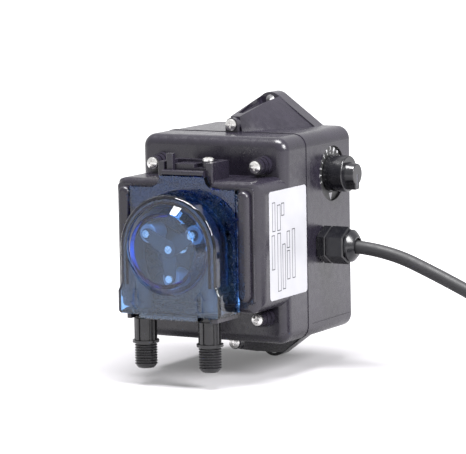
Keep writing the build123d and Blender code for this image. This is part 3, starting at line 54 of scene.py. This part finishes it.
class Shader:
    """Thin wrapper that builds a material's node tree in reading order."""

    def __init__(self, name):
        self.material = bpy.data.materials.new(name)
        self.material.use_nodes = True
        self.tree = self.material.node_tree
        self.surface = self.tree.nodes["Principled BSDF"]
        self.output = self.tree.nodes["Material Output"]
        self.place = self.add("ShaderNodeTexCoord").outputs["Object"]

    def add(self, kind, **settings):
        node = self.tree.nodes.new(kind)
        for key, value in settings.items():
            setattr(node, key, value)
        return node

    def link(self, source, target):
        self.tree.links.new(source, target)

    def set(self, **values):
        """Set sockets of the main shader; underscores in names stand for spaces."""
        for key, value in values.items():
            self.surface.inputs[key.replace("_", " ")].default_value = value

    def noise(self, scale, detail=3.0):
        texture = self.add("ShaderNodeTexNoise")
        texture.inputs["Scale"].default_value = scale
        texture.inputs["Detail"].default_value = detail
        self.link(self.place, texture.inputs["Vector"])
        return texture.outputs["Fac"]

    def ramp(self, source, low, high, start=0.35, end=0.65):
        """Map a 0-1 value to a colour or a grey between two ends."""
        ramp = self.add("ShaderNodeValToRGB")
        stops = ramp.color_ramp.elements
        for stop, place, colour in ((stops[0], start, low), (stops[1], end, high)):
            channels = colour if isinstance(colour, tuple) else (colour,) * 3
            stop.position = place
            stop.color = (*channels, 1.0)
        self.link(source, ramp.inputs["Fac"])
        return ramp.outputs["Color"]

    def colour(self, source, low, high):
        self.link(self.ramp(source, low, high), self.surface.inputs["Base Color"])

    def roughness(self, source, low, high):
        self.link(self.ramp(source, low, high), self.surface.inputs["Roughness"])

    def bump(self, *layers):
        """Stack bump layers given as (height source, distance in metres, strength)."""
        normal = None
        for source, distance, strength in layers:
            bump = self.add("ShaderNodeBump")
            bump.inputs["Distance"].default_value = distance
            bump.inputs["Strength"].default_value = strength
            self.link(source, bump.inputs["Height"])
            if normal is not None:
                self.link(normal, bump.inputs["Normal"])
            normal = bump.outputs["Normal"]
        self.link(normal, self.surface.inputs["Normal"])


def background_seen(tree):
    """1 for the rays that see the white background (camera, glossy and transmission), 0 for the others."""
    path = tree.nodes.new("ShaderNodeLightPath")
    seen = path.outputs["Is Camera Ray"]
    for ray in ("Is Glossy Ray", "Is Transmission Ray"):
        either = tree.nodes.new("ShaderNodeMath")
        either.operation = "MAXIMUM"
        tree.links.new(seen, either.inputs[0])
        tree.links.new(path.outputs[ray], either.inputs[1])
        seen = either.outputs[0]
    return seen


# ---------------------------------------------------------------- materials
mottle_scale = 60.0
sheen_scale = 240.0
coarse_share = 0.3
metal_mottle_scale = 300.0
metal_scratch_scale = 900.0


def moulded_plastic(name, dark, light, rough, grain, depth):
    """Injection-moulded plastic or rubber with a spark-eroded grain `depth` metres deep."""
    shader = Shader(name)
    shader.colour(shader.noise(mottle_scale), dark, light)
    shader.roughness(shader.noise(sheen_scale, detail=5.0), rough - 0.05, rough + 0.06)
    fine_grain = shader.noise(grain, detail=2.0)
    coarse_grain = shader.noise(grain * coarse_share)
    shader.bump((fine_grain, depth, 0.55), (coarse_grain, depth * 1.5, 0.2))
    return shader.material


def metal(name, dark, light, rough):
    """Bare or plated metal with faint scratches."""
    shader = Shader(name)
    shader.set(Metallic=1.0)
    shader.colour(shader.noise(metal_mottle_scale), dark, light)
    shader.roughness(shader.noise(metal_scratch_scale, detail=4.0), rough - 0.06, rough + 0.08)
    shader.bump((shader.noise(metal_scratch_scale * 2), 0.00001, 0.3))
    return shader.material


def clear_blue():
    """Blue transparent polycarbonate, whose tint grows with its thickness."""
    shader = Shader("blue_clear")
    shader.set(Base_Color=(1.0, 1.0, 1.0, 1.0), Roughness=0.03, IOR=1.5, Transmission_Weight=1.0)
    shader.bump((shader.noise(90.0), 0.00004, 0.15))
    tint = shader.add("ShaderNodeVolumeAbsorption")
    tint.inputs["Color"].default_value = (0.09, 0.50, 0.86, 1.0)
    tint.inputs["Density"].default_value = 380.0
    shader.link(tint.outputs["Volume"], shader.output.inputs["Volume"])
    return shader.material


# Each plastic: darkest and lightest colour, roughness, grain scale, grain depth in metres.
plastics = {
    "housing_plastic": ((0.0105, 0.0088, 0.0150), (0.0135, 0.0113, 0.0190), 0.27, 2600.0, 0.000012),
    "black_gloss": ((0.006, 0.006, 0.008), (0.010, 0.010, 0.012), 0.2, 900.0, 0.00001),
    "black_plastic": ((0.0045, 0.0043, 0.0055), (0.0070, 0.0067, 0.0085), 0.30, 1500.0, 0.00003),
    "carrier_plastic": ((0.045, 0.045, 0.052), (0.060, 0.060, 0.068), 0.4, 1500.0, 0.00002),
    "roller_plastic": ((0.34, 0.37, 0.43), (0.40, 0.43, 0.49), 0.35, 1200.0, 0.00002),
    "gear_nylon": ((0.70, 0.67, 0.58), (0.78, 0.75, 0.66), 0.45, 900.0, 0.00002),
    "board_green": ((0.02, 0.15, 0.06), (0.03, 0.20, 0.09), 0.35, 700.0, 0.00002),
    "dial_face": ((0.012, 0.012, 0.013), (0.018, 0.018, 0.019), 0.5, 2600.0, 0.00002),
    "label": ((0.36, 0.36, 0.385), (0.40, 0.40, 0.425), 0.5, 1800.0, 0.00001),
    "seal_rubber": ((0.015, 0.015, 0.015), (0.022, 0.022, 0.022), 0.65, 1200.0, 0.00003),
    "cord_rubber": ((0.0060, 0.0058, 0.0072), (0.0095, 0.0091, 0.0113), 0.55, 1600.0, 0.00004),
    "tube_rubber": ((0.05, 0.05, 0.055), (0.07, 0.07, 0.075), 0.55, 900.0, 0.00003),
}
# Each metal: darkest and lightest colour, roughness.
metals = {
    "steel": ((0.60, 0.59, 0.58), (0.74, 0.73, 0.72), 0.24),
    "plated_steel": ((0.50, 0.51, 0.52), (0.62, 0.63, 0.64), 0.35),
    "iron": ((0.10, 0.10, 0.10), (0.16, 0.16, 0.16), 0.55),
    "brass": ((0.70, 0.52, 0.24), (0.80, 0.62, 0.32), 0.28),
    "copper": ((0.62, 0.28, 0.14), (0.75, 0.36, 0.20), 0.35),
}
materials = {name: moulded_plastic(name, *finish) for name, finish in plastics.items()}
materials.update((name, metal(name, *finish)) for name, finish in metals.items())
materials["blue_clear"] = clear_blue()

slots = {entry["node"]: entry["material_slot"] for entry in frame["record"]["subparts"]}
for name, piece in nodes.items():
    piece.data.materials.clear()
    piece.data.materials.append(materials[slots[name]])

# ---------------------------------------------------------------- flat printing
ink_height = 0.02 * MM


def ink(name, colour):
    """Matt ink that varies a little over the surface."""
    shader = Shader(name)
    shader.colour(shader.noise(1500.0), colour, tuple(value * 1.08 for value in colour))
    shader.set(Roughness=0.55)
    return shader.material


white_ink = ink("white_ink", (0.72, 0.72, 0.74))
grey_ink = ink("grey_ink", (0.02, 0.02, 0.024))
arrow_ink = ink("arrow_ink", (0.05, 0.07, 0.12))
index_paint = ink("index_paint", (0.12, 0.12, 0.14))


def new_piece(name, data):
    piece = bpy.data.objects.new(name, data)
    bpy.context.collection.objects.link(piece)
    return piece


def flat_print(name, outlines, material, body):
    """Flat ink shapes; each outline is a list of (x, y, z) in metres."""
    corners = [corner for outline in outlines for corner in outline]
    faces = []
    first = 0
    for outline in outlines:
        faces.append(tuple(range(first, first + len(outline))))
        first += len(outline)
    mesh = bpy.data.meshes.new(name)
    mesh.from_pydata(corners, [], faces)
    mesh.materials.append(material)
    piece = new_piece(name, mesh)
    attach(piece, body)


def side_print(name, outlines, face_x, material, body):
    """Flat ink shapes on a face whose normal is +X; each outline is a list of (y, z) in metres."""
    placed = [[(face_x + ink_height, y, z) for y, z in outline] for outline in outlines]
    flat_print(name, placed, material, body)


def bar(low_y, high_y, low_z, high_z):
    return [(low_y, low_z), (high_y, low_z), (high_y, high_z), (low_y, high_z)]


def frame_bars(low_y, high_y, low_z, high_z, line):
    """Four bars that outline an empty box."""
    return [bar(low_y, high_y, low_z, low_z + line), bar(low_y, high_y, high_z - line, high_z),
            bar(low_y, low_y + line, low_z, high_z), bar(high_y - line, high_y, low_z, high_z)]


# ---------------------------------------------------------------- flow arrows on the clear cover
# Millimetres: the outline of an upward arrow about its own middle, as (x, z).
arrow_points = [(0.0, 6.0), (3.6, 1.54), (1.8, 1.54), (1.8, -6.0), (-1.8, -6.0), (-1.8, 1.54), (-3.6, 1.54)]
arrow_place = (22.0, -30.5)
arrow_line = 0.4
skirt_front = 145.2


def arrow_edges(turn):
    """Outline of one flow arrow as thin quads on the cover; `turn` is 1 for up and -1 for down."""
    quads = []
    corners = [Vector((arrow_place[0] * turn + x, arrow_place[1] + z * turn)) for x, z in arrow_points]
    for start, end in zip(corners, corners[1:] + corners[:1]):
        along = (end - start).normalized() * arrow_line / 2
        across = Vector((-along.y, along.x))
        edge = [start - along - across, end + along - across, end + along + across, start - along + across]
        quads.append([(x * MM, -skirt_front * MM - ink_height, z * MM) for x, z in edge])
    return quads


flat_print("flow_arrows", arrow_edges(1) + arrow_edges(-1), arrow_ink, "cover")

# ---------------------------------------------------------------- empty boxes on the rating label
label_low, label_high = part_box("rating_label")
label_line = 0.55 * MM
# Each box: front edge, back edge, upper edge and lower edge, as shares of the label's width and height.
label_boxes = [(0.08, 0.16, 0.10, 0.37), (0.21, 0.30, 0.13, 0.37), (0.32, 0.40, 0.12, 0.24),
               (0.21, 0.30, 0.39, 0.93), (0.06, 0.14, 0.40, 0.72), (0.34, 0.42, 0.50, 0.92),
               (0.46, 0.54, 0.39, 0.55), (0.46, 0.54, 0.57, 0.84), (0.60, 0.68, 0.38, 0.84)]


def on_label(across, down):
    """Point of the label from shares of its width and height, counted from its front upper corner."""
    width, height = label_high[1] - label_low[1], label_high[2] - label_low[2]
    return label_low[1] + across * width, label_high[2] - down * height


label_bars = []
for front_edge, back_edge, upper_edge, lower_edge in label_boxes:
    low_y, high_z = on_label(front_edge, upper_edge)
    high_y, low_z = on_label(back_edge, lower_edge)
    label_bars += frame_bars(low_y, high_y, low_z, high_z, label_line)
side_print("label_boxes", label_bars, label_high[0], grey_ink, "housing")

# ---------------------------------------------------------------- speed dial and knob
dial_low, dial_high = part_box("dial_plate")
dial_y, dial_z = (dial_low[1] + dial_high[1]) / 2, (dial_low[2] + dial_high[2]) / 2
dial_first, dial_step, dial_count = -20.0, 18.5, 10
tick_span = (12.2 * MM, 13.2 * MM)
tick_half = 0.2 * MM
wedge_angle = -90.0
wedge_span = (12.2 * MM, 16.4 * MM)
wedge_halves = (2.2 * MM, 0.25 * MM)
glyph_radius = 13.9 * MM
glyph_size = 3.7 * MM
glyph_swell = 0.04 * MM
glyph_thickness = 0.01 * MM


def dial_direction(degrees):
    """Outward direction on the dial in (y, z): 0 points forwards and the angle grows over the top."""
    return -math.cos(math.radians(degrees)), math.sin(math.radians(degrees))


def radial_bar(degrees, span, inner_half, outer_half):
    """Bar along a radius of the dial, with its half width at the inner and at the outer end."""
    out_y, out_z = dial_direction(degrees)
    inner, outer = span
    corners = ((inner, -inner_half), (outer, -outer_half), (outer, outer_half), (inner, inner_half))
    return [(dial_y + out_y * r + out_z * w, dial_z + out_z * r - out_y * w) for r, w in corners]


def dial_number(number):
    """One number of the dial, standing outwards along its radius."""
    name = f"dial_number_{number}"
    out_y, out_z = dial_direction(dial_first + dial_step * (number - 1))
    glyph = bpy.data.curves.new(name, "FONT")
    glyph.body = str(number)
    glyph.size = glyph_size
    glyph.align_x = "CENTER"
    glyph.offset = glyph_swell
    glyph.extrude = glyph_thickness
    glyph.materials.append(white_ink)
    piece = new_piece(name, glyph)
    spot = Vector((dial_high[0] + ink_height, dial_y + out_y * glyph_radius, dial_z + out_z * glyph_radius))
    turned = Matrix(((0, out_z, -out_y), (0, out_y, out_z), (1, 0, 0))).transposed().to_4x4()
    piece.matrix_world = Matrix.Translation(spot) @ turned
    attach(piece, "housing")


dial_marks = [radial_bar(dial_first + dial_step * index, tick_span, tick_half, tick_half)
              for index in range(dial_count)]
dial_marks.append(radial_bar(wedge_angle, wedge_span, *wedge_halves))
side_print("dial_marks", dial_marks, dial_high[0], white_ink, "housing")
for number in range(1, dial_count + 1):
    dial_number(number)

knob_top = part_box("speed_knob")[1][0]
index_half_width = 0.75 * MM
index_inset = 0.3 * MM
index_span = (-8.3 * MM, 0.8 * MM)
knob_index = bar(dial_y - index_half_width, dial_y + index_half_width,
                 dial_z + index_span[0], dial_z + index_span[1])
side_print("knob_index", [knob_index], knob_top - index_inset, index_paint, "knob")

# ---------------------------------------------------------------- mains cord
# Points, coil radii and layers are in millimetres.
cord_radius = 4.2 * MM
cord_route = [(56.5, -37.2, -7.0), (72.1, -37.2, -7.35), (88.1, -37.2, -9.15), (104.1, -37.2, -12.95),
              (120.1, -37.2, -19.35), (136.1, -37.3, -26.15), (152.1, -37.0, -33.5), (168.1, -36.3, -42.6),
              (183.6, -35.1, -51.1), (199.1, -33.7, -57.7), (216.1, -32.4, -61.5), (233.1, -31.8, -62.6)]
tail_route = [(244.1, -31.7, -79.0), (258.1, -31.0, -76.6), (272.1, -29.6, -73.8)]
coil_x, coil_y = 234.1, -83.0
ring_outer, ring_inner = 51.2, 42.8
layer_top, layer_middle, layer_bottom = -62.6, -71.0, -79.4
coil_slots = [(ring_outer, layer_top), (ring_inner, layer_top), (ring_inner, layer_middle),
              (ring_outer, layer_middle), (ring_outer, layer_bottom)]
coil_turns = len(coil_slots)
coil_steps = 14
first_shift = 0.85
shift_share = 0.13


def coil_points():
    """Turns beside and on each other; each turn steps to the next slot just before the one above it."""
    points = []
    for step in range(1, coil_turns * coil_steps):
        turns = step / coil_steps
        turn = int(turns)
        shift_start = first_shift - shift_share * turn
        blend = min(1.0, max(0.0, (turns - turn - shift_start) / shift_share))
        blend = blend * blend * (3 - 2 * blend)
        radius_now, z_now = coil_slots[turn]
        radius_next, z_next = coil_slots[min(turn + 1, coil_turns - 1)]
        radius = radius_now + (radius_next - radius_now) * blend
        angle = math.pi / 2 - 2 * math.pi * turns
        points.append((coil_x + radius * math.cos(angle), coil_y + radius * math.sin(angle),
                       z_now + (z_next - z_now) * blend))
    return points


def round_tube(name, points, radius, slot):
    """Smooth round tube through control points given in millimetres."""
    data = bpy.data.curves.new(name, "CURVE")
    data.dimensions = "3D"
    data.bevel_depth = radius
    data.bevel_resolution = 6
    data.resolution_u = 8
    data.use_fill_caps = True
    spline = data.splines.new("NURBS")
    spline.points.add(len(points) - 1)
    for point, place in zip(spline.points, points):
        point.co = (*(value * MM for value in place), 1.0)
    spline.order_u = 3
    spline.use_endpoint_u = True
    piece = new_piece(name, data)
    data.materials.append(materials[slot])
    return piece


mains_cord = round_tube("mains_cord", cord_route + coil_points() + tail_route, cord_radius, "cord_rubber")
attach(mains_cord, "housing")
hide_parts("power_cord", "cord_coil", "cord_tail")

# ---------------------------------------------------------------- floor
# The floor keeps the object's shadow near it and glows up to plain white further away.
floor_level = -83.8 * MM - 0.2 * MM
floor_reach = 6.0
near_glow, far_glow = 0.16, 1.0
near_floor, far_floor = 0.10, 0.42

floor_mesh = bpy.data.meshes.new("floor")
floor_mesh.from_pydata([(x * floor_reach, y * floor_reach, floor_level)
                        for x, y in ((-1, -1), (1, -1), (1, 1), (-1, 1))], [], [(0, 1, 2, 3)])
floor = new_piece("floor", floor_mesh)
floor_shader = Shader("floor")
floor_shader.set(Base_Color=(0.40, 0.39, 0.41, 1.0), Roughness=0.9, Emission_Color=(1.0, 1.0, 1.0, 1.0))
floor_distance = floor_shader.add("ShaderNodeVectorMath", operation="LENGTH")
floor_shader.link(floor_shader.place, floor_distance.inputs[0])
floor_glow = floor_shader.add("ShaderNodeMapRange", interpolation_type="SMOOTHSTEP")
floor_glow.inputs["From Min"].default_value = near_floor
floor_glow.inputs["From Max"].default_value = far_floor
floor_glow.inputs["To Min"].default_value = near_glow
floor_glow.inputs["To Max"].default_value = far_glow
floor_shader.link(floor_distance.outputs["Value"], floor_glow.inputs["Value"])
floor_strength = floor_shader.add("ShaderNodeMath", operation="MULTIPLY")
floor_shader.link(background_seen(floor_shader.tree), floor_strength.inputs[0])
floor_shader.link(floor_glow.outputs["Result"], floor_strength.inputs[1])
floor_shader.link(floor_strength.outputs[0], floor_shader.surface.inputs["Emission Strength"])
floor_mesh.materials.append(floor_shader.material)

# ---------------------------------------------------------------- world and lamps
world_light = 0.20
background_white = 1.0

world = bpy.data.worlds.new("studio")
bpy.context.scene.world = world
world.use_nodes = True
background = world.node_tree.nodes["Background"]
world_strength = world.node_tree.nodes.new("ShaderNodeMapRange")
world_strength.inputs["To Min"].default_value = world_light
world_strength.inputs["To Max"].default_value = background_white
world.node_tree.links.new(background_seen(world.node_tree), world_strength.inputs["Value"])
world.node_tree.links.new(world_strength.outputs["Result"], background.inputs["Strength"])
background.inputs["Color"].default_value = (1.0, 1.0, 1.0, 1.0)

light_target = Vector((0, -0.08, 0))


def area_light(name, place, size, power):
    """Soft box aimed at the middle of the pump."""
    data = bpy.data.lights.new(name, "AREA")
    data.shape = "RECTANGLE"
    data.size, data.size_y = size
    data.energy = power
    lamp = new_piece(name, data)
    lamp.location = place
    lamp.rotation_euler = (light_target - Vector(place)).to_track_quat("-Z", "Y").to_euler()


area_light("key", (1.45, -0.35, 0.95), (0.8, 0.8), 58.0)
area_light("top", (0.05, -0.35, 1.35), (0.9, 0.5), 50.0)

# ---------------------------------------------------------------- camera
camera_azimuth = math.radians(28.84)
camera_elevation = math.radians(7.09)
camera_roll = math.radians(-0.95)
camera_distance = 2.09169
camera_offset = (-0.03008, -0.00241)
camera_lens = 255.13
sensor_width = 36.0

back = Vector((math.sin(camera_azimuth) * math.cos(camera_elevation),
               -math.cos(camera_azimuth) * math.cos(camera_elevation), math.sin(camera_elevation)))
right = (-back).cross(Vector((0, 0, 1))).normalized()
up = right.cross(-back)
rolled_right = right * math.cos(camera_roll) + up * math.sin(camera_roll)
rolled_up = up * math.cos(camera_roll) - right * math.sin(camera_roll)
camera_data = bpy.data.cameras.new("camera")
camera_data.lens = camera_lens
camera_data.sensor_width = sensor_width
camera = new_piece("camera", camera_data)
camera_place = back * camera_distance + right * camera_offset[0] + up * camera_offset[1]
camera_axes = Matrix((rolled_right, rolled_up, back)).transposed().to_4x4()
camera.matrix_world = Matrix.Translation(camera_place) @ camera_axes
bpy.context.scene.camera = camera
bpy.context.scene.view_settings.view_transform = "Standard"
